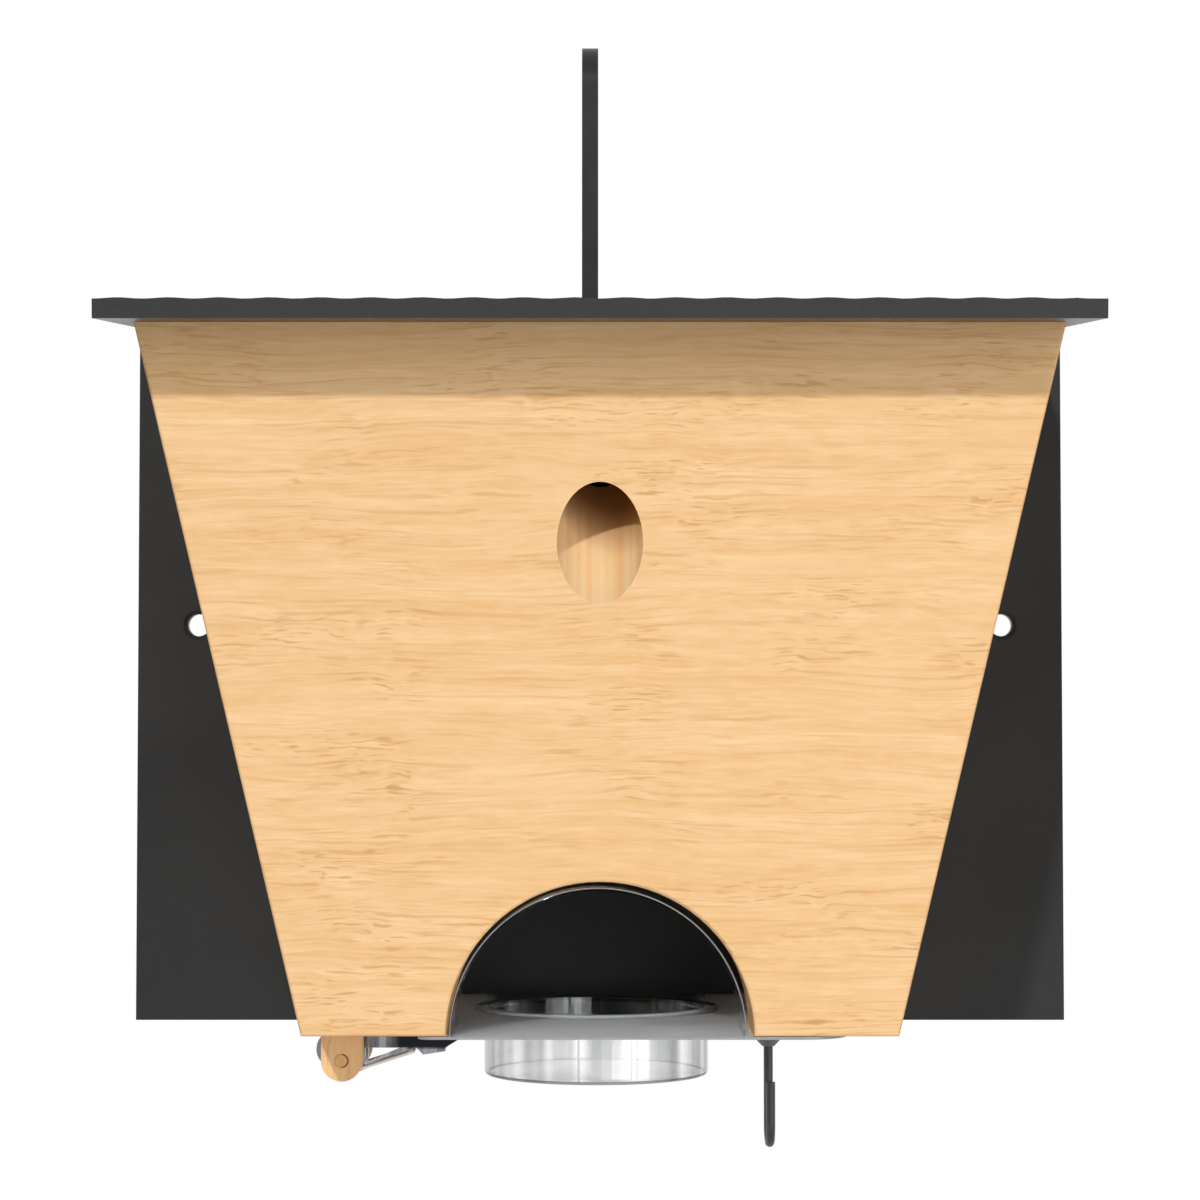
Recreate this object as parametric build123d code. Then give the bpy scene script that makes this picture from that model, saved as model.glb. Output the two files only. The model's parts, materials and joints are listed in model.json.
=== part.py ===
"""Carpenter bee trap: a tapered wooden box on a wall plate, with a bored entrance and a clear catch drawer.

Millimetres. The origin lies between the two wall-screw holes, on the rear face of the back plate.
+X is to the right of a person who faces the trap, +Y points into the wall and +Z points up.
"""

from build123d import *
from math import asin, atan2, cos, hypot, pi, radians, sin, tan
import os

# Boards of the box
board = 19.05
wall_length = 59.5
foot_width = 89.4
side_lean = 13.46
floor_drop = 64.15
eave_height = 43.0
edge_break = 0.5

# Entrance bore and arched window of the front board
entry_bore = 13.0
entry_angle = 45.0
entry_height = 9.7
arch_side = 2.11

# Back plate and its wall-screw holes
back_width = 161.6
back_thick = 3.0
back_drop = 68.8
wall_hole_inset = 10.5
wall_hole = 3.9
wall_hole_sink = 5.3

# Roof sheet
roof_width = 147.6
roof_thick = 3.05
roof_overhang = 17.4
roof_pitch = 5.6
ripple_count = 20
ripple_depth = 0.2

# Hanger tab, folded from flat bar and riveted under the roof
hanger_bar = 2.6
hanger_width = 14.0
hanger_rise = 42.95
hanger_back = 38.0
hanger_centre = -1.6
hanger_hole = 8.0
hanger_foot = 12.5
hanger_fold = 2.0

# Flat-head wood screws, rivets and dowels
screw_shank = 3.0
screw_head = 5.6
screw_length = 20.0
ledge_screw_shank = 1.5
ledge_screw_head = 3.0
ledge_screw_length = 8.0
rivet_shank = 2.4
rivet_head = 4.2
rivet_dome = 1.0
dowel_diameter = 6.0
dowel_length = 24.0
dowel_into_front = 10.0
roof_screw_inset = 14.0
joint_inset = 26.0

# Clear drawer
tray_sheet = 0.4
clear_wall = 0.6
tray_setback = 0.2
tray_lap = 0.1
hood_gap = 0.65
hood_shift = -0.3
hood_edge = 0.5
left_lip = 2.15
tongue_reach = 11.7
tongue_width = 20.6
tongue_corner = 7.0
cup_depth = 10.2
cup_centre = -0.6
cup_pass = 3.1
cup_from_ledge = 5.35
cup_rim = 1.5
cup_rim_edge = 0.2
cup_corner = 0.9

# Cup hook that carries the tongue
hook_wire = 1.4
hook_slot_play = 0.15
hook_inset = 0.4
hook_behind = 10.5
hook_drop = 17.3
hook_bend = 3.2
hook_tip = 6.2
hook_thread = 11.0
collar_top = 4.8
collar_foot = 1.9
collar_edge = 0.3
collar_height = 1.8

# Spring latch
cheek_width = 6.4
cheek_thick = 3.5
cheek_inset = 0.4
cheek_tenon = 3.0
tenon_length = 6.0
pin_diameter = 2.1
pin_from_left = 4.55
pin_drop = 5.63
lever_sheet = 0.8
lever_width = 8.2
lever_hub = 3.1
ear_flange = 0.45
heel_reach = 4.6
heel_round = 3.0
heel_rise = 1.1
bar_from_pin = 3.2
nose_overlap = 6.8
nose_bevel = 3.85
nose_rise = 2.35
bar_foot = 4.33
pad_length = 4.6
pad_drop = 1.1
spring_wire = 0.6
spring_turns = 3
spring_coil = 5.0
spring_lead = 0.03
spring_seat = 0.6
spring_play = 0.15

# Batten under the drawer's rear edge
ledge_width = 40.0
ledge_reach = 6.0
ledge_clear = 0.3

# Clearances
slide_gap = 0.1
fit_gap = 0.05
turn_gap = 0.2

# Planes and lines shared by the pieces
lean = tan(radians(side_lean))
wall_across = board / cos(radians(side_lean))
pitch = radians(roof_pitch)
floor_z = -floor_drop
plate_y = -back_thick
wall_y = plate_y - wall_length
front_y = wall_y - board
tray_top = floor_z - slide_gap
tray_foot = tray_top - tray_sheet
roof_plane = Plane(
    origin=(0, front_y, eave_height),
    x_dir=(1, 0, 0),
    z_dir=(0, -sin(pitch), cos(pitch)),
)
reach = 400.0


def outer_half(z):
    """Half width of the box at a height, to the outside of the side boards."""
    return foot_width / 2 + lean * (z - floor_z)


def middle_half(z):
    """Half width at a height, to the middle of a side board."""
    return outer_half(z) - wall_across / 2


def roof_height(y):
    """Height of the roof's underside above a depth."""
    return eave_height + (y - front_y) * tan(pitch)


def prism(points, y, length):
    """Outline in X and Z, given as its corners, drawn back along Y."""
    outline = Polyline([(x, y, z) for x, z in points], close=True)
    return extrude(make_face(outline), length, dir=(0, 1, 0))


def rod(start, end, diameter):
    """Round bar between two points."""
    line = Vector(*end) - Vector(*start)
    place = Plane(origin=start, z_dir=line)
    return place * Cylinder(diameter / 2, line.length, align=(Align.CENTER, Align.CENTER, Align.MIN))


def along_y(x, z, y, length, diameter):
    """Round bar that runs back along Y."""
    return rod((x, y, z), (x, y + length, z), diameter)


def sunk_shape(head, shank, length):
    """Turned shape of a countersunk fastener, head up at the origin, shank down."""
    cone = (head - shank) / 2
    outline = Polyline(
        (0, 0, 0),
        (head / 2, 0, 0),
        (shank / 2, 0, -cone),
        (shank / 2, 0, -length),
        (0, 0, -length),
        close=True,
    )
    return revolve(make_face(outline), Axis.Z)


def flat_screw(head, shank, length):
    """Countersunk wood screw with a cross recess and a pointed end."""
    point = shank
    body = sunk_shape(head, shank, length - point)
    tip = Pos(0, 0, point - length) * Cone(
        shank / 16, shank / 2, point, align=(Align.CENTER, Align.CENTER, Align.MAX)
    )
    wing = head / 2
    slit = head / 8
    depth = head / 2.5
    return body + tip - Box(wing, slit, depth) - Box(slit, wing, depth)


def screw_hole(head, shank, length):
    """Room that a countersunk wood screw takes up in the pieces around it."""
    return sunk_shape(head + 2 * fit_gap, shank + 2 * fit_gap, length + fit_gap)


def flat_rivet(grip):
    """Rivet with a flush head at the origin and a formed dome past its grip."""
    dome = Pos(0, 0, -grip) * Sphere(rivet_head / 2)
    dome -= Pos(0, 0, -grip) * Box(
        rivet_head, rivet_head, rivet_head, align=(Align.CENTER, Align.CENTER, Align.MIN)
    )
    dome -= Pos(0, 0, -grip - rivet_dome) * Box(
        rivet_head, rivet_head, rivet_head, align=(Align.CENTER, Align.CENTER, Align.MAX)
    )
    return sunk_shape(rivet_head, rivet_shank, grip) + dome


def rivet_hole(grip):
    """Room for a flush rivet."""
    return sunk_shape(rivet_head + 2 * fit_gap, rivet_shank + 2 * fit_gap, grip)


# Screws of the two sizes, as head, shank and length
wood_screw = (screw_head, screw_shank, screw_length)
small_screw = (ledge_screw_head, ledge_screw_shank, ledge_screw_length)

# Places of the fasteners
joint_heights = (floor_z + joint_inset, eave_height - joint_inset)
dowel_spots = [(side * middle_half(z), z) for side in (-1, 1) for z in joint_heights]
back_screw_places = [
    Plane(origin=(x, 0, z), x_dir=(1, 0, 0), z_dir=(0, 1, 0)) for x, z in dowel_spots
]
roof_screw_places = [
    roof_plane * Pos(side * middle_half(roof_height(y)), (y - front_y) / cos(pitch), roof_thick - ripple_depth)
    for side in (-1, 1)
    for y in (wall_y + roof_screw_inset, plate_y - roof_screw_inset)
]

# Places of the hanger, the hook and the latch
hanger_y = front_y + hanger_back
hanger_slope = hanger_back / cos(pitch)
hanger_right = hanger_centre + hanger_bar / 2
rivet_x = hanger_right + hanger_foot / 2
hanger_rivet_places = [
    roof_plane * Pos(rivet_x, hanger_slope + along, roof_thick - ripple_depth)
    for along in (-hanger_width / 4, hanger_width / 4)
]
hanger_grip = roof_thick - ripple_depth + hanger_bar
inner_foot = foot_width / 2 - wall_across
arch_radius = inner_foot - arch_side
cup_radius = arch_radius - cup_rim - cup_pass
cup_y = plate_y - ledge_reach - cup_from_ledge - cup_radius
slot_half = hook_wire / 2 + hook_slot_play
tray_half = inner_foot + tray_lap
hook_x = tray_half + slot_half - hook_inset
hook_y = front_y + hook_behind
pin_x = pin_from_left - foot_width / 2
pin_z = floor_z - pin_drop
bar_top = tray_foot - slide_gap
bar_low = floor_z - bar_foot
nose_x = nose_overlap - tray_half - left_lip
bevel_x = nose_x - nose_bevel
pad_left = bevel_x - pad_length
spring_pitch = spring_wire + spring_lead
spring_lean = spring_pitch / (pi * spring_coil)
coil_length = spring_pitch * (spring_turns + 1) + spring_wire
coil_room = coil_length + spring_lean * (pad_left - pin_x + pin_drop) + 2 * fit_gap
front_cheek_y = wall_y + cheek_inset
lever_y = front_cheek_y + cheek_thick + coil_room + turn_gap
rear_cheek_y = lever_y + lever_width + coil_room + turn_gap
cheek_middles = (front_cheek_y + cheek_thick / 2, rear_cheek_y + cheek_thick / 2)
ledge_top = tray_foot - slide_gap
ledge_foot = ledge_clear - back_drop
ledge_screw_z = (ledge_top + ledge_foot) / 2
ledge_screw_places = [
    Plane(origin=(side * ledge_width / 3, 0, ledge_screw_z), x_dir=(1, 0, 0), z_dir=(0, 1, 0))
    for side in (-1, 1)
]
above_roof = roof_plane * Box(reach, reach, reach, align=(Align.CENTER, Align.CENTER, Align.MIN))


def tangent_below(radius, x, z):
    """Angle about the pin where a line from under a round of that radius leaves for a point."""
    run = hypot(x - pin_x, z - pin_z)
    return atan2(z - pin_z, x - pin_x) - radians(90) + asin(radius / run)


def tenon_hole(y):
    """Socket for a latch cheek's tenon in the underside of a board."""
    return rod((pin_x, y, floor_z), (pin_x, y, floor_z + tenon_length + fit_gap), cheek_tenon + 2 * fit_gap)


def front_panel():
    """Tapered front board with the slanted entrance bore and the arched window at its foot."""
    top = eave_height + board
    corners = [
        (-outer_half(floor_z), floor_z),
        (outer_half(floor_z), floor_z),
        (outer_half(top), top),
        (-outer_half(top), top),
    ]
    panel = prism(corners, front_y, board) - above_roof
    panel -= along_y(0, floor_z, front_y - board, 3 * board, 2 * arch_radius)
    rise = Plane(
        origin=(0, front_y, entry_height),
        x_dir=(1, 0, 0),
        z_dir=(0, cos(radians(entry_angle)), sin(radians(entry_angle))),
    )
    panel -= rise * Cylinder(entry_bore / 2, 6 * board)
    face = panel.faces().sort_by(Axis.Y)[0]
    rim = [edge for edge in face.outer_wire().edges() if edge.center().Z < eave_height - edge_break]
    panel = fillet(rim, edge_break)
    for x, z in dowel_spots:
        panel -= along_y(x, z, wall_y - dowel_into_front, board, dowel_diameter + 2 * fit_gap)
    shank_top = floor_z + hook_thread + fit_gap
    return panel - rod((hook_x, hook_y, floor_z), (hook_x, hook_y, shank_top), hook_wire + 2 * fit_gap)


def side_wall(side):
    """Leaning side board, butted between the front board and the back plate."""
    top = eave_height + board
    corners = [
        (side * outer_half(floor_z), floor_z),
        (side * outer_half(top), top),
        (side * (outer_half(top) - wall_across), top),
        (side * inner_foot, floor_z),
    ]
    wall = prism(corners, wall_y, wall_length) - above_roof
    socket = dowel_length - dowel_into_front + fit_gap
    for x, z in dowel_spots:
        wall -= along_y(x, z, wall_y, socket, dowel_diameter + 2 * fit_gap)
    for place in back_screw_places + roof_screw_places:
        wall -= place * screw_hole(*wood_screw)
    for y in cheek_middles:
        wall -= tenon_hole(y)
    return wall


def wall_dowels():
    """Wooden dowels that pin the side boards to the front board."""
    start = wall_y - dowel_into_front + fit_gap
    return [along_y(x, z, start, dowel_length - fit_gap, dowel_diameter) for x, z in dowel_spots]


def back_plate():
    """Flat plate that closes the box behind and carries it on the wall."""
    corners = [
        (-back_width / 2, -back_drop),
        (back_width / 2, -back_drop),
        (back_width / 2, eave_height + back_width),
        (-back_width / 2, eave_height + back_width),
    ]
    plate = prism(corners, plate_y, back_thick) - above_roof
    for side in (-1, 1):
        hole_x = side * (back_width / 2 - wall_hole_inset)
        face = Plane(origin=(hole_x, plate_y, 0), x_dir=(1, 0, 0), z_dir=(0, -1, 0))
        plate -= face * sunk_shape(wall_hole_sink, wall_hole, 2 * back_thick)
    for place in back_screw_places:
        plate -= place * screw_hole(*wood_screw)
    for place in ledge_screw_places:
        plate -= place * screw_hole(*small_screw)
    return plate


def roof_plate():
    """Sheet with a gently rippled top, sloped to the front."""
    start = -roof_overhang
    pitch_x = roof_width / ripple_count
    steps = 2 * ripple_count
    crests = [
        (-roof_width / 2 + i * pitch_x / 2, start, roof_thick - ripple_depth * ((i + 1) % 2))
        for i in range(steps + 1)
    ]
    wave = Spline(crests, tangents=[(1, 0, 0), (1, 0, 0)])
    foot = Polyline(crests[-1], (roof_width / 2, start, 0), (-roof_width / 2, start, 0), crests[0])
    length = roof_overhang - front_y / cos(pitch)
    sheet = roof_plane * extrude(make_face(wave + foot), length, dir=(0, 1, 0))
    for place in roof_screw_places:
        sheet -= place * screw_hole(*wood_screw)
    for place in hanger_rivet_places:
        sheet -= place * rivet_hole(2 * hanger_grip)
    slot_x = hanger_bar + 2 * fit_gap
    slot = Pos(hanger_centre, hanger_y, roof_height(hanger_y)) * Box(
        slot_x, hanger_width + 2 * fit_gap, 6 * roof_thick
    )
    return sheet - slot


def hanger_tab():
    """Flat bar that stands up through the roof, with a hanging hole and a foot folded under the sheet."""
    round_z = roof_height(hanger_y) + roof_thick + hanger_rise - hanger_width / 2
    low = roof_height(hanger_y) - hanger_width
    left = hanger_centre - hanger_bar / 2
    stem = Pos(hanger_centre, hanger_y, (low + round_z) / 2) * Box(hanger_bar, hanger_width, round_z - low)
    stem += rod((left, hanger_y, round_z), (hanger_right, hanger_y, round_z), hanger_width)
    stem -= rod((left - 1, hanger_y, round_z), (hanger_right + 1, hanger_y, round_z), hanger_hole)
    under = roof_plane * Pos(0, 0, -hanger_bar)
    stem -= under * Box(reach, reach, reach, align=(Align.CENTER, Align.CENTER, Align.MAX))
    sole = under * Pos(left, hanger_slope, 0) * Box(
        hanger_bar + hanger_foot, hanger_width, hanger_bar, align=(Align.MIN, Align.CENTER, Align.MIN)
    )
    front_cut = Pos(0, hanger_y - hanger_width / 2, 0) * Box(
        reach, reach, reach, align=(Align.CENTER, Align.MAX, Align.CENTER)
    )
    rear_cut = Pos(0, hanger_y + hanger_width / 2, 0) * Box(
        reach, reach, reach, align=(Align.CENTER, Align.MIN, Align.CENTER)
    )
    tab = stem + (sole - front_cut - rear_cut)
    fold = tab.edges().filter_by(lambda e: abs(e.center().X - left) < 1e-3).sort_by(Axis.Z)[0]
    tab = fillet(fold, hanger_fold)
    for place in hanger_rivet_places:
        tab -= place * rivet_hole(2 * hanger_grip)
    return tab


def rear_ledge():
    """Batten on the back plate that the drawer's rear edge slides on."""
    batten = Pos(0, plate_y, ledge_foot) * Box(
        ledge_width, ledge_reach, ledge_top - ledge_foot, align=(Align.CENTER, Align.MAX, Align.MIN)
    )
    for place in ledge_screw_places:
        batten -= place * screw_hole(*small_screw)
    return batten


def tray_floor():
    """Clear floor of the drawer, with a latch lip on the left and a slotted tongue on the right."""
    start = front_y + tray_setback
    depth = plate_y - slide_gap - start
    flat = Align.MIN
    sheet = Pos(-tray_half, start, tray_foot) * Box(2 * tray_half, depth, tray_sheet, align=(flat, flat, flat))
    tongue_right = hook_x + tongue_reach
    tongue = Pos(0, start, tray_foot) * Box(tongue_right, tongue_width, tray_sheet, align=(flat, flat, flat))
    tongue = fillet(tongue.edges().filter_by(Axis.Z).group_by(Axis.X)[-1], tongue_corner)
    lip_width = tray_half + left_lip
    lip_depth = lever_y + lever_width + left_lip - start
    lip = Pos(-lip_width, start, tray_foot) * Box(lip_width, lip_depth, tray_sheet, align=(flat, flat, flat))
    lip = fillet(lip.edges().filter_by(Axis.Z).group_by(Axis.X)[0], left_lip)
    slot = Pos(hook_x, hook_y, tray_foot) * Box(
        2 * slot_half, reach, 4 * tray_sheet, align=(Align.CENTER, flat, Align.CENTER)
    )
    slot += Pos(hook_x, hook_y, tray_foot) * Cylinder(slot_half, 4 * tray_sheet)
    mouth = Pos(cup_centre, cup_y, tray_foot) * Cylinder(cup_radius + fit_gap, 4 * tray_sheet)
    return sheet + tongue + lip - slot - mouth


def tray_hood():
    """Clear arched hood that stands on the drawer's floor, closed by a pane in front."""
    start = front_y + tray_setback
    outer = arch_radius - hood_gap
    shell = along_y(hood_shift, tray_top, start, board - tray_setback, 2 * outer)
    shell -= along_y(hood_shift, tray_top, start + clear_wall, board, 2 * (outer - clear_wall))
    below = Pos(0, front_y, tray_top) * Box(reach, reach, reach, align=(Align.CENTER, Align.CENTER, Align.MAX))
    hood = shell - below
    brow = hood.edges().filter_by(GeomType.CIRCLE).group_by(Axis.Y)[0]
    return fillet(brow, hood_edge)


def catch_cup():
    """Clear round cup that hangs in the floor's hole by a bonded rim."""
    low = tray_foot - cup_depth
    rim = tray_top + clear_wall
    wall = cup_radius - clear_wall
    outline = Polyline(
        (0, 0, low),
        (cup_radius, 0, low),
        (cup_radius, 0, tray_top),
        (cup_radius + cup_rim, 0, tray_top),
        (cup_radius + cup_rim, 0, rim),
        (wall, 0, rim),
        (wall, 0, low + clear_wall),
        (0, 0, low + clear_wall),
        close=True,
    )
    cup = revolve(make_face(outline), Axis.Z)
    corner = cup.edges().filter_by(GeomType.CIRCLE).group_by(Axis.Z)[0].sort_by(SortBy.RADIUS)[-1]
    cup = fillet(corner, cup_corner)
    lips = cup.edges().filter_by(GeomType.CIRCLE).group_by(Axis.Z)[-1]
    return Pos(cup_centre, cup_y, 0) * fillet(lips, cup_rim_edge)


def cup_hook():
    """Bent wire hook, screwed up into the front board, with its open side to the front."""
    low = floor_z - hook_drop + hook_wire / 2
    bend_z = low + hook_bend
    front = hook_y - 2 * hook_bend
    shank = Line((hook_x, hook_y, floor_z + hook_thread), (hook_x, hook_y, bend_z))
    bend = ThreePointArc((hook_x, hook_y, bend_z), (hook_x, hook_y - hook_bend, low), (hook_x, front, bend_z))
    tip = Line((hook_x, front, bend_z), (hook_x, front, bend_z + hook_tip))
    start = Plane(origin=(hook_x, hook_y, floor_z + hook_thread), z_dir=(0, 0, -1))
    return sweep(start * Circle(hook_wire / 2), path=shank + bend + tip)


def hook_collar():
    """Flared collar on the hook's shank, which the drawer's tongue rests on."""
    top = tray_foot - slide_gap
    outline = Polyline(
        (hook_wire / 2 + fit_gap, 0, top),
        (collar_top / 2, 0, top),
        (collar_top / 2, 0, top - collar_edge),
        (collar_foot / 2, 0, top - collar_height),
        (hook_wire / 2 + fit_gap, 0, top - collar_height),
        close=True,
    )
    return Pos(hook_x, hook_y, 0) * revolve(make_face(outline), Axis.Z)


def latch_cheek(y):
    """Round-ended wooden cheek with a turned tenon, glued into the box's underside."""
    radius = cheek_width / 2
    block = Pos(pin_x, y, pin_z) * Box(
        cheek_width, cheek_thick, pin_drop, align=(Align.CENTER, Align.MIN, Align.MIN)
    )
    block += along_y(pin_x, pin_z, y, cheek_thick, 2 * radius)
    middle = y + cheek_thick / 2
    block += rod((pin_x, middle, floor_z), (pin_x, middle, floor_z + tenon_length), cheek_tenon)
    return block - along_y(pin_x, pin_z, y - 1, cheek_thick + 2, pin_diameter + 2 * fit_gap)


def latch_pin():
    """Hardwood pin through both cheeks, cut flush."""
    return along_y(pin_x, pin_z, front_cheek_y, rear_cheek_y + cheek_thick - front_cheek_y, pin_diameter)


def latch_lever():
    """Folded sheet lever: two pierced ears with drawn bosses on the pin, a bar to the drawer's lip and
    a thumb pad under its nose. The spring's coils turn on the bosses."""
    bar_left = pin_x + bar_from_pin
    swing = tangent_below(lever_hub, pad_left, bar_low)
    outline = [
        (pin_x, pin_z + lever_hub),
        (bar_left, bar_top),
        (nose_x, bar_top),
        (nose_x, bar_low + nose_rise),
        (bevel_x, bar_low),
        (pad_left, bar_low),
        (pin_x + lever_hub * cos(swing), pin_z + lever_hub * sin(swing)),
        (pin_x, pin_z),
    ]
    lever = prism(outline, lever_y, lever_width)
    lever += along_y(pin_x, pin_z, lever_y, lever_width, 2 * lever_hub)
    heel_x = pin_x - heel_reach + heel_round
    lever += along_y(heel_x, pin_z + heel_rise, lever_y, lever_width, 2 * heel_round)
    ear_slope = swing + radians(90)
    window_left = pin_x + lever_hub
    window_right = pad_left - ear_flange / sin(ear_slope)
    window = [
        (window_left, bar_low),
        (window_right, bar_low),
        (window_left, bar_low - (window_right - window_left) * tan(ear_slope)),
    ]
    lever -= prism(window, lever_y - 1, lever_width + 2)
    hollow = [
        (pin_x - reach, pin_z - reach),
        (pin_x - reach, bar_top),
        (bar_left, bar_top),
        (bar_left, bar_top - lever_sheet),
        (nose_x, bar_top - lever_sheet),
        (nose_x, pin_z - reach),
    ]
    lever -= prism(hollow, lever_y + lever_sheet, lever_width - 2 * lever_sheet)
    pad = [
        (pad_left, bar_low),
        (bevel_x, bar_low),
        (bevel_x, bar_low - pad_drop / 2),
        (pad_left + pad_drop, bar_low - pad_drop),
    ]
    lever += prism(pad, lever_y, lever_width)
    boss = spring_coil - spring_wire - 2 * spring_play
    boss_reach = coil_room - turn_gap
    for y in (lever_y - boss_reach, lever_y + lever_width - lever_sheet):
        lever += along_y(pin_x, pin_z, y, boss_reach + lever_sheet, boss)
    reach_y = lever_width + 4 * boss_reach
    return lever - along_y(pin_x, pin_z, lever_y - 2 * boss_reach, reach_y, pin_diameter + 2 * fit_gap)


def latch_spring():
    """Double torsion spring: a coil by each cheek, a bridge under the lever and two legs on the boards."""
    mean = spring_coil / 2
    edge = tangent_below(lever_hub, pad_left, bar_low) + radians(90)
    off = spring_wire / 2 + fit_gap
    bridge_x = pad_left - spring_seat * cos(edge) + off * sin(edge)
    bridge_z = bar_low - spring_seat * sin(edge) - off * cos(edge)
    swing = tangent_below(mean, bridge_x, bridge_z)
    arm = hypot(bridge_x - pin_x - mean * cos(swing), bridge_z - pin_z - mean * sin(swing))
    part_turn = (swing + radians(180)) / radians(360)
    length = spring_pitch * (spring_turns + part_turn)
    leg_rise = pin_drop - 2 * fit_gap
    bridge_ends = []
    stretches = []
    for lever_side, outward in ((lever_y, -1), (lever_y + lever_width, 1)):
        arm_y = lever_side + outward * (fit_gap + spring_wire / 2)
        coil_y = arm_y + outward * (spring_lean * arm + length)
        place = Plane(origin=(pin_x, coil_y, pin_z), x_dir=(-1, 0, 0), z_dir=(0, -outward, 0))
        turns = place * Helix(spring_pitch, length, mean, lefthand=outward < 0)
        start = turns @ 0
        section = Plane(origin=start, z_dir=turns % 0) * Circle(spring_wire / 2)
        leg_end = start + Vector(0, outward * spring_lean * leg_rise, leg_rise)
        bridge_end = (bridge_x, arm_y, bridge_z)
        stretches.append(sweep(section, path=turns, is_frenet=True))
        stretches.append(rod(tuple(start), tuple(leg_end), spring_wire))
        stretches.append(rod(tuple(turns @ 1), bridge_end, spring_wire))
        stretches.append(Pos(*bridge_end) * Sphere(spring_wire / 2))
        bridge_ends.append(bridge_end)
    spring = rod(*bridge_ends, spring_wire)
    for stretch in stretches:
        spring += stretch
    return spring


nodes = {
    "front_panel": front_panel(),
    "left_side_wall": side_wall(-1),
    "right_side_wall": side_wall(1),
    "wall_dowels": wall_dowels(),
    "back_plate": back_plate(),
    "back_screws": [place * flat_screw(*wood_screw) for place in back_screw_places],
    "roof_plate": roof_plate(),
    "roof_screws": [place * flat_screw(*wood_screw) for place in roof_screw_places],
    "hanger_tab": hanger_tab(),
    "hanger_rivets": [place * flat_rivet(hanger_grip) for place in hanger_rivet_places],
    "rear_ledge": rear_ledge(),
    "ledge_screws": [place * flat_screw(*small_screw) for place in ledge_screw_places],
    "tray_floor": tray_floor(),
    "tray_hood": tray_hood(),
    "catch_cup": catch_cup(),
    "cup_hook": cup_hook(),
    "hook_collar": hook_collar(),
    "latch_cheek_front": latch_cheek(front_cheek_y),
    "latch_cheek_rear": latch_cheek(rear_cheek_y),
    "latch_pin": latch_pin(),
    "latch_lever": latch_lever(),
    "latch_spring": latch_spring(),
}

os.makedirs("parts", exist_ok=True)
for name, shape in nodes.items():
    solids = shape if isinstance(shape, list) else [shape]
    whole = Compound(children=[solid for item in solids for solid in item.solids()])
    export_step(whole, f"parts/{name}.step")
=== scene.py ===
"""Carpenter bee trap, dressed for the camera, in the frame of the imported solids.
Meshes are in metres, and the sizes and places of patterns are in millimetres."""

import json
from math import asin, atan2, cos, hypot, pi, radians, sin

import bpy
from mathutils import Matrix, Vector


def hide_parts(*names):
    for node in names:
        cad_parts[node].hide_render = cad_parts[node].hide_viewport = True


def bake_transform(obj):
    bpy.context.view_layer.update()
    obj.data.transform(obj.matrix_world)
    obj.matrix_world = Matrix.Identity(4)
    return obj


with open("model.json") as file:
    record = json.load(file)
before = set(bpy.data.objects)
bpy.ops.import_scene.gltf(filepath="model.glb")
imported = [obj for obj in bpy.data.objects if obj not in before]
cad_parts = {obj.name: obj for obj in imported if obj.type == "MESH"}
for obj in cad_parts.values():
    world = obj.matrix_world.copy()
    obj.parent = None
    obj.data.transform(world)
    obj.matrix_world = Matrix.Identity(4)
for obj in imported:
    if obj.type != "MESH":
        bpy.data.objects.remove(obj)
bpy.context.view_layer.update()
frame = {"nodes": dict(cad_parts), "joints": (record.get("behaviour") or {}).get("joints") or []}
nodes = frame["nodes"]


# Front board
# A tapered board of planed softwood, 19 mm thick, cut with its fibres running across the trap.
# The entrance is drilled upwards at 45 degrees, and the arched window is sawn into its foot.
mm_per_m = 1000
wood_light = "#FFD8A6"
wood_dark = "#EFBD82"
wood_line = "#E0AC72"
wood_wisp = "#CC965E"
wood_end = "#D9A66D"
sway_reach = 6.0
curl_reach = 2.6
ring_spacing = 3.2
band_share = 1.2
tone_shift = -0.62
end_share = 0.6
wisp_sunk = 0.5
bore_mouth = (0.0, -81.55, 9.7)
bore_angle = pi / 4
bore_radius = 6.5
bore_skin = 0.03
bore_streak = 1.2
bore_dark = "#F8C98F"
bore_light = "#FFE2B2"
# Painted shade in the bore: its colour, and where it starts and is full, leaning to the right
bore_painted_shade = "#A67B4E"
painted_shade_start = 5.0
painted_shade_full = 16.0
painted_shade_lean = 0.6


def linear(code):
    """Linear RGBA of an sRGB hex colour."""
    parts = [int(code[i:i + 2], 16) / 255 for i in (1, 3, 5)]
    return [p / 12.92 if p <= 0.04045 else ((p + 0.055) / 1.055) ** 2.4 for p in parts] + [1.0]


def add(owner, kind, inputs=None, **settings):
    """Adds a shader node with its settings, and fills its sockets with values or with links."""
    node = owner.node_tree.nodes.new("ShaderNode" + kind)
    for name, value in settings.items():
        setattr(node, name, value)
    for socket, value in (inputs or {}).items():
        if isinstance(value, bpy.types.NodeSocket):
            owner.node_tree.links.new(value, node.inputs[socket])
        else:
            node.inputs[socket].default_value = value
    return node


def new_finish(name):
    """New material, with its shader."""
    material = bpy.data.materials.new(name)
    material.use_nodes = True
    return material, material.node_tree.nodes["Principled BSDF"]


def drive(material, shader, **sockets):
    """Links outputs to the shader's sockets, named with underscores for spaces."""
    for name, output in sockets.items():
        material.node_tree.links.new(output, shader.inputs[name.replace("_", " ")])


def wear(node, material):
    """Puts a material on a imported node."""
    nodes[node].material_slots[0].material = material


def in_millimetres(owner, turn=(0, 0, 0)):
    """Texture coordinates of a piece, and its place in millimetres. Wood is turned so that X lies along
    its fibres."""
    coords = add(owner, "TexCoord")
    place = add(owner, "Mapping", {"Vector": coords.outputs["Object"], "Rotation": turn,
                                   "Scale": (mm_per_m,) * 3})
    return coords, place.outputs[0]


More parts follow.
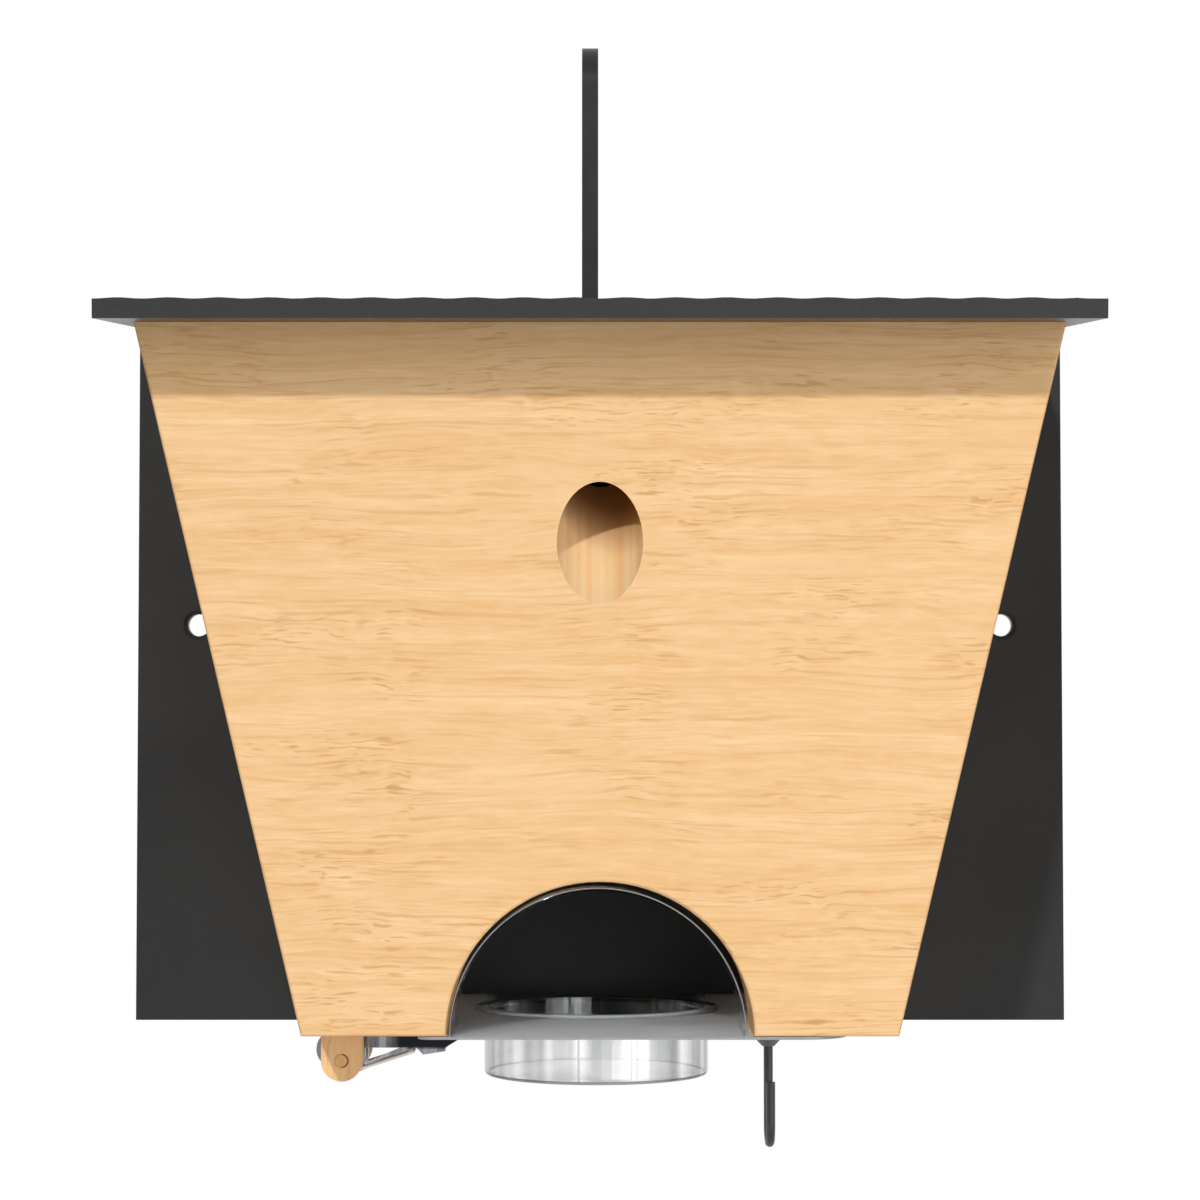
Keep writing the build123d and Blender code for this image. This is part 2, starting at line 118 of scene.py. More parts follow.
def reach_from(owner, place, centre, counted):
    """Distance of a place from a centre, with 1 for each direction that is counted and 0 for the others."""
    offset = add(owner, "VectorMath", {0: place, 1: centre}, operation="SUBTRACT")
    flat = add(owner, "VectorMath", {0: offset.outputs[0], 1: counted}, operation="MULTIPLY")
    return add(owner, "VectorMath", {0: flat.outputs[0]}, operation="LENGTH").outputs["Value"]


def grain_cells(owner, place, along, across, detail):
    """Noise in long cells that lie along the fibres, with their length and width in millimetres."""
    cell = add(owner, "Mapping", {"Vector": place, "Scale": (1 / along, 1 / across, 1 / across)})
    return add(owner, "TexNoise", {"Vector": cell.outputs[0], "Scale": 1.0, "Detail": detail})


def softwood(name, turn, pith, end=wood_end):
    """Planed softwood, solid through the board: pale fibres along it, thin tan grain lines, scattered
    short brown wisps and growth rings about its pith. To the eye it is dry and matt, with darker end grain.
    Fibres are 0.5 mm wide, because real ones of 0.04 mm are too fine to show."""
    wood, shader = new_finish(name)
    coords, place = in_millimetres(wood, turn)
    across_fibres = (0.0, 1.0, 1.0)
    mean_noise = (0.5, 0.5, 0.5)
    # Fibres sway along the board, and curl in small eddies where the marks gather
    cluster = grain_cells(wood, place, along=24.0, across=9.0, detail=1.0).outputs["Fac"]
    curled = add(wood, "MapRange", {"Value": cluster, "From Min": 0.48, "From Max": 0.7,
                                    "To Max": curl_reach})
    bent = place
    for along, across, reach in ((48.0, 15.0, sway_reach), (8.0, 3.6, curled.outputs[0])):
        sway = grain_cells(wood, place, along, across, detail=2.0)
        centred = add(wood, "VectorMath", {0: sway.outputs["Color"], 1: mean_noise}, operation="SUBTRACT")
        sideways = add(wood, "VectorMath", {0: centred.outputs[0], 1: across_fibres}, operation="MULTIPLY")
        shift = add(wood, "VectorMath", {0: sideways.outputs[0], "Scale": reach}, operation="SCALE")
        bent = add(wood, "VectorMath", {0: bent, 1: shift.outputs[0]}, operation="ADD").outputs[0]
    # Cells of each layer, as length along the fibres, width across them and detail
    layers = {"fibre": (4.5, 0.5, 2.5), "band": (45.0, 1.7, 2.0),
              "line": (40.0, 0.5, 0.5), "wisp": (5.0, 0.36, 0.0)}
    cells = {layer: grain_cells(wood, bent, *size).outputs["Fac"] for layer, size in layers.items()}
    # Growth rings: thin darker late wood at the end of each year's growth
    radius = reach_from(wood, bent, (0.0, *pith), across_fibres)
    years = add(wood, "Math", {0: radius, 1: ring_spacing}, operation="DIVIDE")
    year = add(wood, "Math", {0: years.outputs[0]}, operation="FRACT")
    late = add(wood, "MapRange", {"Value": year.outputs[0], "From Min": 0.55, "From Max": 0.92},
               interpolation_type="SMOOTHSTEP")
    fall = add(wood, "MapRange", {"Value": year.outputs[0], "From Min": 1.0, "From Max": 0.94},
               interpolation_type="SMOOTHSTEP")
    ring = add(wood, "Math", {0: late.outputs[0], 1: fall.outputs[0]}, operation="MULTIPLY")
    # End grain shows where the surface cuts across the fibres
    facing = add(wood, "Mapping", {"Vector": coords.outputs["Normal"], "Rotation": turn},
                 vector_type="VECTOR")
    slice_of = add(wood, "SeparateXYZ", {0: facing.outputs[0]})
    cut = add(wood, "Math", {0: slice_of.outputs["X"]}, operation="ABSOLUTE")
    butt = add(wood, "MapRange", {"Value": cut.outputs[0], "From Min": 0.5, "From Max": 0.95})
    # Tone of the fibres and bands, with the rings in it, which are strongest on end grain
    tone = add(wood, "Math", {0: cells["band"], 1: band_share, 2: tone_shift}, operation="MULTIPLY_ADD")
    tone = add(wood, "Math", {0: cells["fibre"], 1: tone.outputs[0]}, operation="ADD")
    dark = add(wood, "MapRange", {"Value": butt.outputs[0], "To Min": -0.1, "To Max": -0.9})
    tone = add(wood, "Math", {0: ring.outputs[0], 1: dark.outputs[0], 2: tone.outputs[0]},
               operation="MULTIPLY_ADD")
    tint = add(wood, "Mix", {0: tone.outputs[0], 6: linear(wood_dark), 7: linear(wood_light)},
               data_type="RGBA")
    # Grain lines and wisps are the peaks of their layers, where their group is strong
    marks = {}
    for layer, faint, full, low, high, depth, colour in (("line", 0.54, 0.78, 0.2, 0.6, 0.7, wood_line),
                                                         ("wisp", 0.58, 0.8, 0.46, 0.66, 0.6, wood_wisp)):
        thin = add(wood, "MapRange", {"Value": cells[layer], "From Min": faint, "From Max": full},
                   interpolation_type="SMOOTHSTEP")
        group = add(wood, "MapRange", {"Value": cluster, "From Min": low, "From Max": high,
                                       "To Max": depth})
        marks[layer] = add(wood, "Math", {0: thin.outputs[0], 1: group.outputs[0]}, operation="MULTIPLY")
        tint = add(wood, "Mix", {0: marks[layer].outputs[0], 6: tint.outputs[2], 7: linear(colour)},
                   data_type="RGBA")
    share = add(wood, "Math", {0: butt.outputs[0], 1: end_share}, operation="MULTIPLY")
    whole = add(wood, "Mix", {0: share.outputs[0], 6: tint.outputs[2], 7: linear(end)}, data_type="RGBA")
    height = add(wood, "Math", {0: marks["wisp"].outputs[0], 1: -wisp_sunk, 2: cells["fibre"]},
                 operation="MULTIPLY_ADD")
    bump = add(wood, "Bump", {"Strength": 0.3, "Distance": 0.00005, "Height": height.outputs[0]})
    rough = add(wood, "MapRange", {"Value": cells["fibre"], "To Min": 0.5, "To Max": 0.72})
    drive(wood, shader, Base_Color=whole.outputs[2], Roughness=rough.outputs[0], Normal=bump.outputs[0])
    shader.inputs["Specular IOR Level"].default_value = 0.2
    return wood, shader, whole.outputs[2]


fibres_across = (0, 0, 0)
board_wood, board_shader, board_tint = softwood("planed_softwood_across", fibres_across, pith=(38.0, -22.0))
# The drill burnished the bore's wall, so its streaks run up the bore. Further in and towards the right
# the wall is painted darker, as painted shade.
board_place = in_millimetres(board_wood)[1]
from_mouth = add(board_wood, "VectorMath", {0: board_place, 1: bore_mouth}, operation="SUBTRACT")
up_bore = (0.0, cos(bore_angle), sin(bore_angle))
run = add(board_wood, "VectorMath", {0: from_mouth.outputs[0], 1: up_bore}, operation="DOT_PRODUCT")
on_axis = add(board_wood, "VectorMath", {0: up_bore, "Scale": run.outputs["Value"]}, operation="SCALE")
off_axis = add(board_wood, "VectorMath", {0: from_mouth.outputs[0], 1: on_axis.outputs[0]},
               operation="SUBTRACT")
from_axis = add(board_wood, "VectorMath", {0: off_axis.outputs[0]}, operation="LENGTH")
in_bore = add(board_wood, "MapRange", {"Value": from_axis.outputs["Value"],
                                       "From Min": bore_radius + 2 * bore_skin,
                                       "From Max": bore_radius + bore_skin})
drilled = add(board_wood, "TexNoise", {"Vector": off_axis.outputs[0], "Scale": 1 / bore_streak,
                                       "Detail": 2.0})
drilled_tone = add(board_wood, "MapRange", {"Value": drilled.outputs["Fac"], "From Min": 0.3,
                                            "From Max": 0.7})
burnished = add(board_wood, "Mix", {0: drilled_tone.outputs[0], 6: linear(bore_dark),
                                    7: linear(bore_light)}, data_type="RGBA")
across_bore = add(board_wood, "SeparateXYZ", {0: from_mouth.outputs[0]})
shade_lean_run = add(board_wood, "Math", {0: across_bore.outputs["X"], 1: painted_shade_lean, 2: run.outputs["Value"]},
            operation="MULTIPLY_ADD")
painted_shade_share = add(board_wood, "MapRange", {"Value": shade_lean_run.outputs[0], "From Min": painted_shade_start,
                                          "From Max": painted_shade_full})
bore_with_painted_shade = add(board_wood, "Mix", {0: painted_shade_share.outputs[0], 6: burnished.outputs[2], 7: linear(bore_painted_shade)},
               data_type="RGBA")
bored = add(board_wood, "Mix", {0: in_bore.outputs[0], 6: board_tint, 7: bore_with_painted_shade.outputs[2]},
            data_type="RGBA")
drive(board_wood, board_shader, Base_Color=bored.outputs[2])
wear("front_panel", board_wood)


# Side boards
# Two leaning boards of the same softwood behind the front board, butted, glued and dowelled to it.
# Their fibres run up and down, so their feet and tops show end grain.
fibres_up = (0, pi / 2, 0)
for side, pith in (("left", (-30.0, 62.0)), ("right", (-34.0, -70.0))):
    wear(f"{side}_side_wall", softwood(f"planed_softwood_{side}", fibres_up, pith)[0])


# Dowels
# Four turned dowels, glued into blind holes between the front board and the side boards.
# They are out of sight once the box is together.
fibres_back = (0, 0, -pi / 2)
wear("wall_dowels", softwood("turned_dowel_wood", fibres_back, pith=(20.0, 15.0))[0])


# Back plate
# A flat sheet of charcoal plastic, 3 mm thick, that closes the box and carries it on the wall.
# It is sawn from an extruded sheet with a fine satin grain, and its two wall holes are countersunk.
facing_wall = (0.0, 1.0, 0.0)
scuff_size = 35.0


def satin_sheet(name, face, colour, scuff, sawn, grain, rough_low, rough_high):
    """Extruded sheet plastic with a satin face: dark and even, with a soft sheen at a low angle, faint
    cloudy scuffs, and paler specks where its edges were sawn. The face is the direction that it faces,
    and the grain is the pebble size of the face in millimetres."""
    sheet, shader = new_finish(name)
    coords = add(sheet, "TexCoord")
    cloud = add(sheet, "TexNoise", {"Vector": coords.outputs["Object"], "Scale": mm_per_m / scuff_size,
                                    "Detail": 4.0})
    pebble = add(sheet, "TexNoise", {"Vector": coords.outputs["Object"], "Scale": mm_per_m / grain,
                                     "Detail": 2.0})
    scuffed = add(sheet, "MapRange", {"Value": cloud.outputs["Fac"], "From Min": 0.35, "From Max": 0.7})
    tint = add(sheet, "Mix", {0: scuffed.outputs[0], 6: linear(colour), 7: linear(scuff)}, data_type="RGBA")
    level = add(sheet, "VectorMath", {0: coords.outputs["Normal"], 1: face}, operation="DOT_PRODUCT")
    flat = add(sheet, "Math", {0: level.outputs["Value"]}, operation="ABSOLUTE")
    edge = add(sheet, "MapRange", {"Value": flat.outputs[0], "From Min": 0.8, "From Max": 0.6})
    speck = add(sheet, "MapRange", {"Value": pebble.outputs["Fac"], "To Min": 0.4, "To Max": 1.6})
    cut = add(sheet, "Math", {0: edge.outputs[0], 1: speck.outputs[0]}, operation="MULTIPLY")
    tint = add(sheet, "Mix", {0: cut.outputs[0], 6: tint.outputs[2], 7: linear(sawn)}, data_type="RGBA")
    rough = add(sheet, "MapRange", {"Value": cloud.outputs["Fac"], "To Min": rough_low,
                                    "To Max": rough_high})
    bump = add(sheet, "Bump", {"Strength": 0.2, "Distance": 0.00003, "Height": pebble.outputs["Fac"]})
    drive(sheet, shader, Base_Color=tint.outputs[2], Roughness=rough.outputs[0], Normal=bump.outputs[0])
    shader.inputs["Specular IOR Level"].default_value = 0.2
    return sheet


wear("back_plate", satin_sheet("satin_charcoal_sheet", facing_wall, colour="#303030", scuff="#373737",
                               sawn="#3E3E3E", grain=0.5, rough_low=0.36, rough_high=0.5))


# Screws of the back plate and of the batten
# Zinc-plated steel wood screws with flat cross-recess heads, driven from behind and flush with the plate.
# The plating is pale grey with a faint yellow and blue haze.
zinc_blue = "#A9ADB3"
zinc_yellow = "#CFCBBE"
zinc_cloud = 2.0
zinc, zinc_shader = new_finish("zinc_plated_steel")
zinc_coords = add(zinc, "TexCoord")
zinc_haze = add(zinc, "TexNoise", {"Vector": zinc_coords.outputs["Object"], "Scale": mm_per_m / zinc_cloud,
                                   "Detail": 3.0})
zinc_tint = add(zinc, "Mix", {0: zinc_haze.outputs["Fac"], 6: linear(zinc_blue), 7: linear(zinc_yellow)},
                data_type="RGBA")
zinc_rough = add(zinc, "MapRange", {"Value": zinc_haze.outputs["Fac"], "To Min": 0.29, "To Max": 0.42})
drive(zinc, zinc_shader, Base_Color=zinc_tint.outputs[2], Roughness=zinc_rough.outputs[0])
zinc_shader.inputs["Metallic"].default_value = 1.0
for screws in ("back_screws", "ledge_screws"):
    wear(screws, zinc)


# Roof sheet
# The same kind of charcoal sheet, a little glossier, with a top that is rippled from front to back.
# It lies on the sloped tops of the boards and overhangs the front.
facing_up = (0.0, 0.0, 1.0)
wear("roof_plate", satin_sheet("satin_roof_sheet", facing_up, colour="#313131", scuff="#393939",
                               sawn="#3F3F3F", grain=0.7, rough_low=0.28, rough_high=0.36))


# Hanger, its rivets, the roof screws, the hook and its collar
# Mild steel with a black powder coat: a folded flat bar, flush rivets and screws, a bent wire hook.
# The cured powder leaves a fine orange peel and a soft gloss, and on the collar it is rubbed grey.
dust_size = 6.0


def powder_coat(name, colour, dusty, peel, gloss):
    """Powder-coated steel: black and softly glossy, with an orange peel of a given size in millimetres."""
    coat, shader = new_finish(name)
    coords = add(coat, "TexCoord")
    skin = add(coat, "TexNoise", {"Vector": coords.outputs["Object"], "Scale": mm_per_m / peel,
                                  "Detail": 1.0})
    dust = add(coat, "TexNoise", {"Vector": coords.outputs["Object"], "Scale": mm_per_m / dust_size,
                                  "Detail": 4.0})
    tint = add(coat, "Mix", {0: dust.outputs["Fac"], 6: linear(colour), 7: linear(dusty)}, data_type="RGBA")
    rough = add(coat, "MapRange", {"Value": dust.outputs["Fac"], "To Min": 0.28, "To Max": 0.42})
    bump = add(coat, "Bump", {"Strength": 0.2, "Distance": 0.00004, "Height": skin.outputs["Fac"]})
    drive(coat, shader, Base_Color=tint.outputs[2], Roughness=rough.outputs[0], Normal=bump.outputs[0])
    shader.inputs["Specular IOR Level"].default_value = gloss
    return coat


bar_coat = powder_coat("black_powder_coat", colour="#323232", dusty="#3F3F3F", peel=0.8, gloss=0.12)
for piece in ("hanger_tab", "hanger_rivets", "roof_screws"):
    wear(piece, bar_coat)
wear("cup_hook", powder_coat("black_hook_coat", colour="#151515", dusty="#242424", peel=0.5, gloss=0.8))
wear("hook_collar", powder_coat("rubbed_collar_coat", colour="#4A4A4A", dusty="#6C6C6C", peel=0.5,
                                gloss=0.6))


# Batten
# A small batten of the back plate's charcoal plastic, which the drawer's rear edge slides on.
# It is sawn to length and screwed to the plate's foot from behind.
wear("rear_ledge", satin_sheet("satin_batten_plastic", facing_wall, colour="#262626", scuff="#2E2E2E",
                               sawn="#303030", grain=0.5, rough_low=0.36, rough_high=0.5))


# Drawer floor
# A thin flat sheet of clear plastic with a hazy face and sawn edges, whose darker grey is painted shade.
# It has a hole for the cup, a lip on the left for the latch and a slotted tongue on the right for the
# hook's shank.
cup_centre = (-0.6, -32.75, 0.0)
cup_radius = 18.4
sheet_colour = "#FFFFFF"
sheet_edge_painted_shade = "#B4B4B4"
sheet_passed = 0.3
polish_fade = 1.5
polish_rough = 0.04
smear_size = 14.0
plastic_ior = 1.49


def clear_plastic(name, colour, passed, rough_low, rough_high):
    """Clear plastic moulding: it bends and mirrors what is around it, and its smears blur that a little.
    A hazy face lets only a share of the light pass and scatters the rest."""
    clear, shader = new_finish(name)
    coords = add(clear, "TexCoord")
    smear = add(clear, "TexNoise", {"Vector": coords.outputs["Object"], "Scale": mm_per_m / smear_size,
                                    "Detail": 1.0})
    rough = add(clear, "MapRange", {"Value": smear.outputs["Fac"], "From Min": 0.3, "From Max": 0.75,
                                    "To Min": rough_low, "To Max": rough_high})
    drive(clear, shader, Roughness=rough.outputs[0])
    shader.inputs["Base Color"].default_value = linear(colour)
    shader.inputs["Transmission Weight"].default_value = passed
    shader.inputs["IOR"].default_value = plastic_ior
    return clear, shader, rough.outputs[0]


hazy, hazy_shader, hazy_rough = clear_plastic("hazy_clear_sheet", sheet_colour, sheet_passed,
                                              rough_low=0.3, rough_high=0.36)
hazy_coords, hazy_mm = in_millimetres(hazy)
# Painted shade: faces that look neither up nor down get a darker grey
hazy_facing = add(hazy, "SeparateXYZ", {0: hazy_coords.outputs["Normal"]})
hazy_level = add(hazy, "Math", {0: hazy_facing.outputs["Z"]}, operation="ABSOLUTE")
hazy_tint = add(hazy, "Mix", {0: hazy_level.outputs[0], 6: linear(sheet_edge_painted_shade), 7: linear(sheet_colour)},
                data_type="RGBA")
# Behind the middle of the cup the sheet was polished, so it is clear there and mirrors the dark box
from_hole = add(hazy, "VectorMath", {0: hazy_mm, 1: cup_centre}, operation="SUBTRACT")
hazy_place = add(hazy, "SeparateXYZ", {0: from_hole.outputs[0]})
hazy_side = add(hazy, "Math", {0: hazy_place.outputs["X"]}, operation="ABSOLUTE")
beside = add(hazy, "MapRange", {"Value": hazy_side.outputs[0], "From Min": cup_radius + polish_fade,
                                "From Max": cup_radius - polish_fade})
to_rear = add(hazy, "MapRange", {"Value": hazy_place.outputs["Y"], "From Min": -polish_fade,
                                 "From Max": polish_fade})
polished = add(hazy, "Math", {0: beside.outputs[0], 1: to_rear.outputs[0]}, operation="MULTIPLY")
hazy_finish = add(hazy, "Mix", {0: polished.outputs[0], 2: hazy_rough, 3: polish_rough})
hazy_passed = add(hazy, "MapRange", {"Value": polished.outputs[0], "To Min": sheet_passed, "To Max": 1.0})
drive(hazy, hazy_shader, Base_Color=hazy_tint.outputs[2], Roughness=hazy_finish.outputs[0],
      Transmission_Weight=hazy_passed.outputs[0])
wear("tray_floor", hazy)


# Drawer hood
# A thin clear moulding, an arch with a front pane, which stands in the window and is bonded to the floor.
# Its front edge is ground and scatters light, so it shows as a pale line round the pane.
hood_colour = "#E2E5E7"
hood_centre = (-0.3, 0.0, -64.25)
hood_front = -81.35
hood_radius = 22.35
hood_edge = 0.2
edge_fade = 0.12
front_fade = 0.04
ground_rough = 0.6
ground_passed = 0.6
pane, pane_shader, pane_rough = clear_plastic("clear_hood_plastic", hood_colour, passed=1.0,
                                              rough_low=0.01, rough_high=0.06)
pane_mm = in_millimetres(pane)[1]
pane_reach = reach_from(pane, pane_mm, hood_centre, counted=(1.0, 0.0, 1.0))
pane_place = add(pane, "SeparateXYZ", {0: pane_mm})
at_edge = add(pane, "MapRange", {"Value": pane_reach, "From Min": hood_radius - hood_edge - edge_fade,
                                 "From Max": hood_radius - hood_edge})
at_front = add(pane, "MapRange", {"Value": pane_place.outputs["Y"],
                                  "From Min": hood_front + hood_edge + front_fade,
                                  "From Max": hood_front + hood_edge})
ground = add(pane, "Math", {0: at_edge.outputs[0], 1: at_front.outputs[0]}, operation="MULTIPLY")
pane_finish = add(pane, "Mix", {0: ground.outputs[0], 2: pane_rough, 3: ground_rough})
pane_passed = add(pane, "MapRange", {"Value": ground.outputs[0], "To Min": 1.0, "To Max": ground_passed})
drive(pane, pane_shader, Roughness=pane_finish.outputs[0], Transmission_Weight=pane_passed.outputs[0])
wear("tray_hood", pane)


# Catch cup
# A thin clear moulding that hangs in the floor's hole by its rim, with a fine parting line. Its wall is
# painted clearest at the front and greyer in stretches round its sides, as painted reflection and shade.
# The front half of its rim is hazy from the solvent that bonds it to the floor, and its foot is worn.
cup_colour = "#FFFFFF"
cup_painted_shade_grey = "#969899"
cup_top = -64.6
cup_foot = -74.85
cup_corner = 0.9
cup_skin = 0.3
painted_stretch_length = 6.0
painted_stretch_start = 11.9
cup_parting = radians(-98.8)
parting_width = 0.22
parting_rough = 0.45
rim_rough = 0.45
rim_haze = 0.32
foot_wear = 0.36
foot_rough = 0.5
foot_passed = 0.55
cup, cup_shader, cup_rough = clear_plastic("clear_cup_plastic", cup_colour, passed=1.0,
                                           rough_low=0.01, rough_high=0.06)
cup_coords, cup_mm = in_millimetres(cup)
from_cup = add(cup, "VectorMath", {0: cup_mm, 1: cup_centre}, operation="SUBTRACT")
cup_place = add(cup, "SeparateXYZ", {0: from_cup.outputs[0]})
cup_reach = reach_from(cup, cup_mm, cup_centre, counted=(1.0, 1.0, 0.0))
on_wall = add(cup, "Math", {0: cup_reach, 1: cup_radius - cup_skin}, operation="GREATER_THAN")
bearing = add(cup, "Math", {0: cup_place.outputs["Y"], 1: cup_place.outputs["X"]}, operation="ARCTAN2")
# Painted reflection and shade: grey stretches round the wall, clearer towards the front
painted_stretch_place = add(cup, "Math", {0: bearing.outputs[0], 1: cup_radius / painted_stretch_length, 2: painted_stretch_start},
                 operation="MULTIPLY_ADD")
painted_stretch = add(cup, "TexNoise", {"W": painted_stretch_place.outputs[0], "Scale": 1.0, "Detail": 1.0},
           noise_dimensions="1D")
forward = add(cup, "Math", {0: cup_place.outputs["Y"], 1: -1 / cup_radius}, operation="MULTIPLY")
painted_clear_front = add(cup, "MapRange", {"Value": forward.outputs[0], "From Min": 0.75, "From Max": 0.95,
                               "To Max": 0.4})
painted_stretch_level = add(cup, "Math", {0: painted_stretch.outputs["Fac"], 1: painted_clear_front.outputs[0]}, operation="ADD")
painted_stretch_tone = add(cup, "MapRange", {"Value": painted_stretch_level.outputs[0], "From Min": 0.4, "From Max": 0.7},
                interpolation_type="SMOOTHSTEP")
wall_painted_tint = add(cup, "Mix", {0: painted_stretch_tone.outputs[0], 6: linear(cup_painted_shade_grey), 7: linear(cup_colour)},
                data_type="RGBA")
clear_tint = add(cup, "Mix", {0: on_wall.outputs[0], 6: linear(cup_colour), 7: wall_painted_tint.outputs[2]},
                 data_type="RGBA")
# Parting line
from_parting = add(cup, "Math", {0: bearing.outputs[0], 1: cup_parting}, operation="SUBTRACT")
past_parting = add(cup, "Math", {0: from_parting.outputs[0]}, operation="ABSOLUTE")
on_line = add(cup, "MapRange", {"Value": past_parting.outputs[0], "From Min": parting_width / cup_radius,
                                "From Max": parting_width / cup_radius / 2})
parting = add(cup, "Math", {0: on_line.outputs[0], 1: on_wall.outputs[0]}, operation="MULTIPLY")
# Front half of the rim, and its top
above = add(cup, "Math", {0: cup_place.outputs["Z"], 1: cup_top}, operation="GREATER_THAN")
to_front = add(cup, "MapRange", {"Value": cup_place.outputs["Y"], "From Min": polish_fade,
                                 "From Max": -polish_fade})
rim = add(cup, "Math", {0: above.outputs[0], 1: to_front.outputs[0]}, operation="MULTIPLY")
cup_facing = add(cup, "SeparateXYZ", {0: cup_coords.outputs["Normal"]})
upward = add(cup, "MapRange", {"Value": cup_facing.outputs["Z"], "From Min": 0.6, "From Max": 0.9})
rim_top = add(cup, "Math", {0: upward.outputs[0], 1: rim.outputs[0]}, operation="MULTIPLY")
cup_tint = add(cup, "Mix", {0: rim_top.outputs[0], 6: clear_tint.outputs[2], 7: linear(sheet_colour)},
               data_type="RGBA")
# Worn corner of the foot
near_foot = add(cup, "MapRange", {"Value": cup_place.outputs["Z"], "From Min": cup_foot + 2 * foot_wear,
                                  "From Max": cup_foot + foot_wear})
at_corner = add(cup, "Math", {0: cup_reach, 1: cup_radius - cup_corner}, operation="GREATER_THAN")
worn_foot = add(cup, "Math", {0: near_foot.outputs[0], 1: at_corner.outputs[0]}, operation="MULTIPLY")
cup_finish = cup_rough
cup_passed = 1.0
for part, finish, passed in ((parting, parting_rough, 1.0), (rim, rim_rough, 1.0),
                             (rim_top, rim_haze, sheet_passed), (worn_foot, foot_rough, foot_passed)):
    cup_finish = add(cup, "Mix", {0: part.outputs[0], 2: cup_finish, 3: finish}).outputs[0]
    cup_passed = add(cup, "Mix", {0: part.outputs[0], 2: cup_passed, 3: passed}).outputs[0]
drive(cup, cup_shader, Base_Color=cup_tint.outputs[2], Roughness=cup_finish, Transmission_Weight=cup_passed)
wear("catch_cup", cup)
# Sunlight goes straight through the clear hood and cup
for piece in ("tray_hood", "catch_cup"):
    nodes[piece].visible_shadow = False


# Latch cheeks and pin
# Two round-ended cheeks of the same softwood, each with a turned tenon glued into the side board's foot.
# A turned pin, cut flush, goes through both. Its hole is a little wide; the shade in the gap on the right
# is painted as a dark crescent on the pin's end.
pin_gap_painted_shade = "#6E4F30"
pin_radius = 1.05
painted_gap_width = 0.12
cheek_wood = softwood("planed_softwood_cheeks", fibres_up, pith=(14.0, 30.0))[0]
for cheek in ("latch_cheek_front", "latch_cheek_rear"):
    wear(cheek, cheek_wood)
hinge = Vector(next(joint for joint in frame["joints"] if joint["name"] == "latch_release")["pos_m"])
hinge_mm = mm_per_m * hinge
pin_wood, pin_shader, pin_tint = softwood("turned_pin_wood", fibres_back, pith=(-55.0, 30.0), end=wood_dark)
pin_mm = in_millimetres(pin_wood)[1]
from_hinge = add(pin_wood, "VectorMath", {0: pin_mm, 1: hinge_mm}, operation="SUBTRACT")
pin_side = add(pin_wood, "SeparateXYZ", {0: from_hinge.outputs[0]})
pin_reach = reach_from(pin_wood, pin_mm, hinge_mm, counted=(1.0, 0.0, 1.0))
# Painted shade: a dark crescent along the right of the pin's end stands for the gap in its hole
at_rim = add(pin_wood, "MapRange", {"Value": pin_reach, "From Min": pin_radius - 2 * painted_gap_width,
                                    "From Max": pin_radius - painted_gap_width})
at_right = add(pin_wood, "MapRange", {"Value": pin_side.outputs["X"], "From Min": -0.3, "From Max": 0.4})
painted_gap_shade = add(pin_wood, "Math", {0: at_rim.outputs[0], 1: at_right.outputs[0]}, operation="MULTIPLY")
pin_with_painted_shade = add(pin_wood, "Mix", {0: painted_gap_shade.outputs[0], 6: pin_tint, 7: linear(pin_gap_painted_shade)},
               data_type="RGBA")
drive(pin_wood, pin_shader, Base_Color=pin_with_painted_shade.outputs[2])
wear("latch_pin", pin_wood)


# Latch lever
# Two pierced ears with drawn bosses, a bar and a thumb pad, folded from one piece of 0.8 mm spring steel.
# It is blackened and polished. By the ears, on the pad and at the heel it is painted paler in bands: partly
# bare steel where the black is worn thin, with rolling marks, and partly painted highlight.
lever_black = "#313237"
lever_grey = "#55575D"
lever_bare_highlight = "#CDCED2"
roll_mark_size = (1.5, 30.0, 25.0)
rubbed_highlight_share = 0.55
# Where the wear and painted highlight start and where they are full, across the lever or down to its pad
wear_and_highlight_places = {"ears": ("X", -31.5, -34.0), "pad": ("Z", -68.3, -68.8), "heel": ("X", -42.5, -44.0)}
lever_steel, lever_shader = new_finish("blackened_spring_steel")
lever_mm = in_millimetres(lever_steel)[1]
rolled = add(lever_steel, "Mapping", {"Vector": lever_mm, "Scale": [1 / size for size in roll_mark_size]})
roll_mark = add(lever_steel, "TexNoise", {"Vector": rolled.outputs[0], "Scale": 1.0, "Detail": 2.0})
roll_tone = add(lever_steel, "MapRange", {"Value": roll_mark.outputs["Fac"], "From Min": 0.44,
                                          "From Max": 0.68})
lever_place = add(lever_steel, "SeparateXYZ", {0: lever_mm})
pale_spots = {}
for spot, (direction, start, full) in wear_and_highlight_places.items():
    pale_spots[spot] = add(lever_steel, "MapRange", {"Value": lever_place.outputs[direction], "From Min": start,
                                               "From Max": full}).outputs[0]
worn_and_highlit = add(lever_steel, "Math", {0: pale_spots["ears"], 1: pale_spots["pad"]}, operation="MAXIMUM")
rubbed_and_highlit = add(lever_steel, "Math", {0: pale_spots["heel"], 1: pale_spots["pad"]}, operation="MAXIMUM")
pale_band_tone = add(lever_steel, "Math", {0: rubbed_and_highlit.outputs[0], 1: rubbed_highlight_share, 2: roll_tone.outputs[0]},
                operation="MULTIPLY_ADD", use_clamp=True)
pale_band_tint = add(lever_steel, "Mix", {0: pale_band_tone.outputs[0], 6: linear(lever_grey), 7: linear(lever_bare_highlight)},
                data_type="RGBA")
lever_tint = add(lever_steel, "Mix", {0: worn_and_highlit.outputs[0], 6: linear(lever_black), 7: pale_band_tint.outputs[2]},
                 data_type="RGBA")
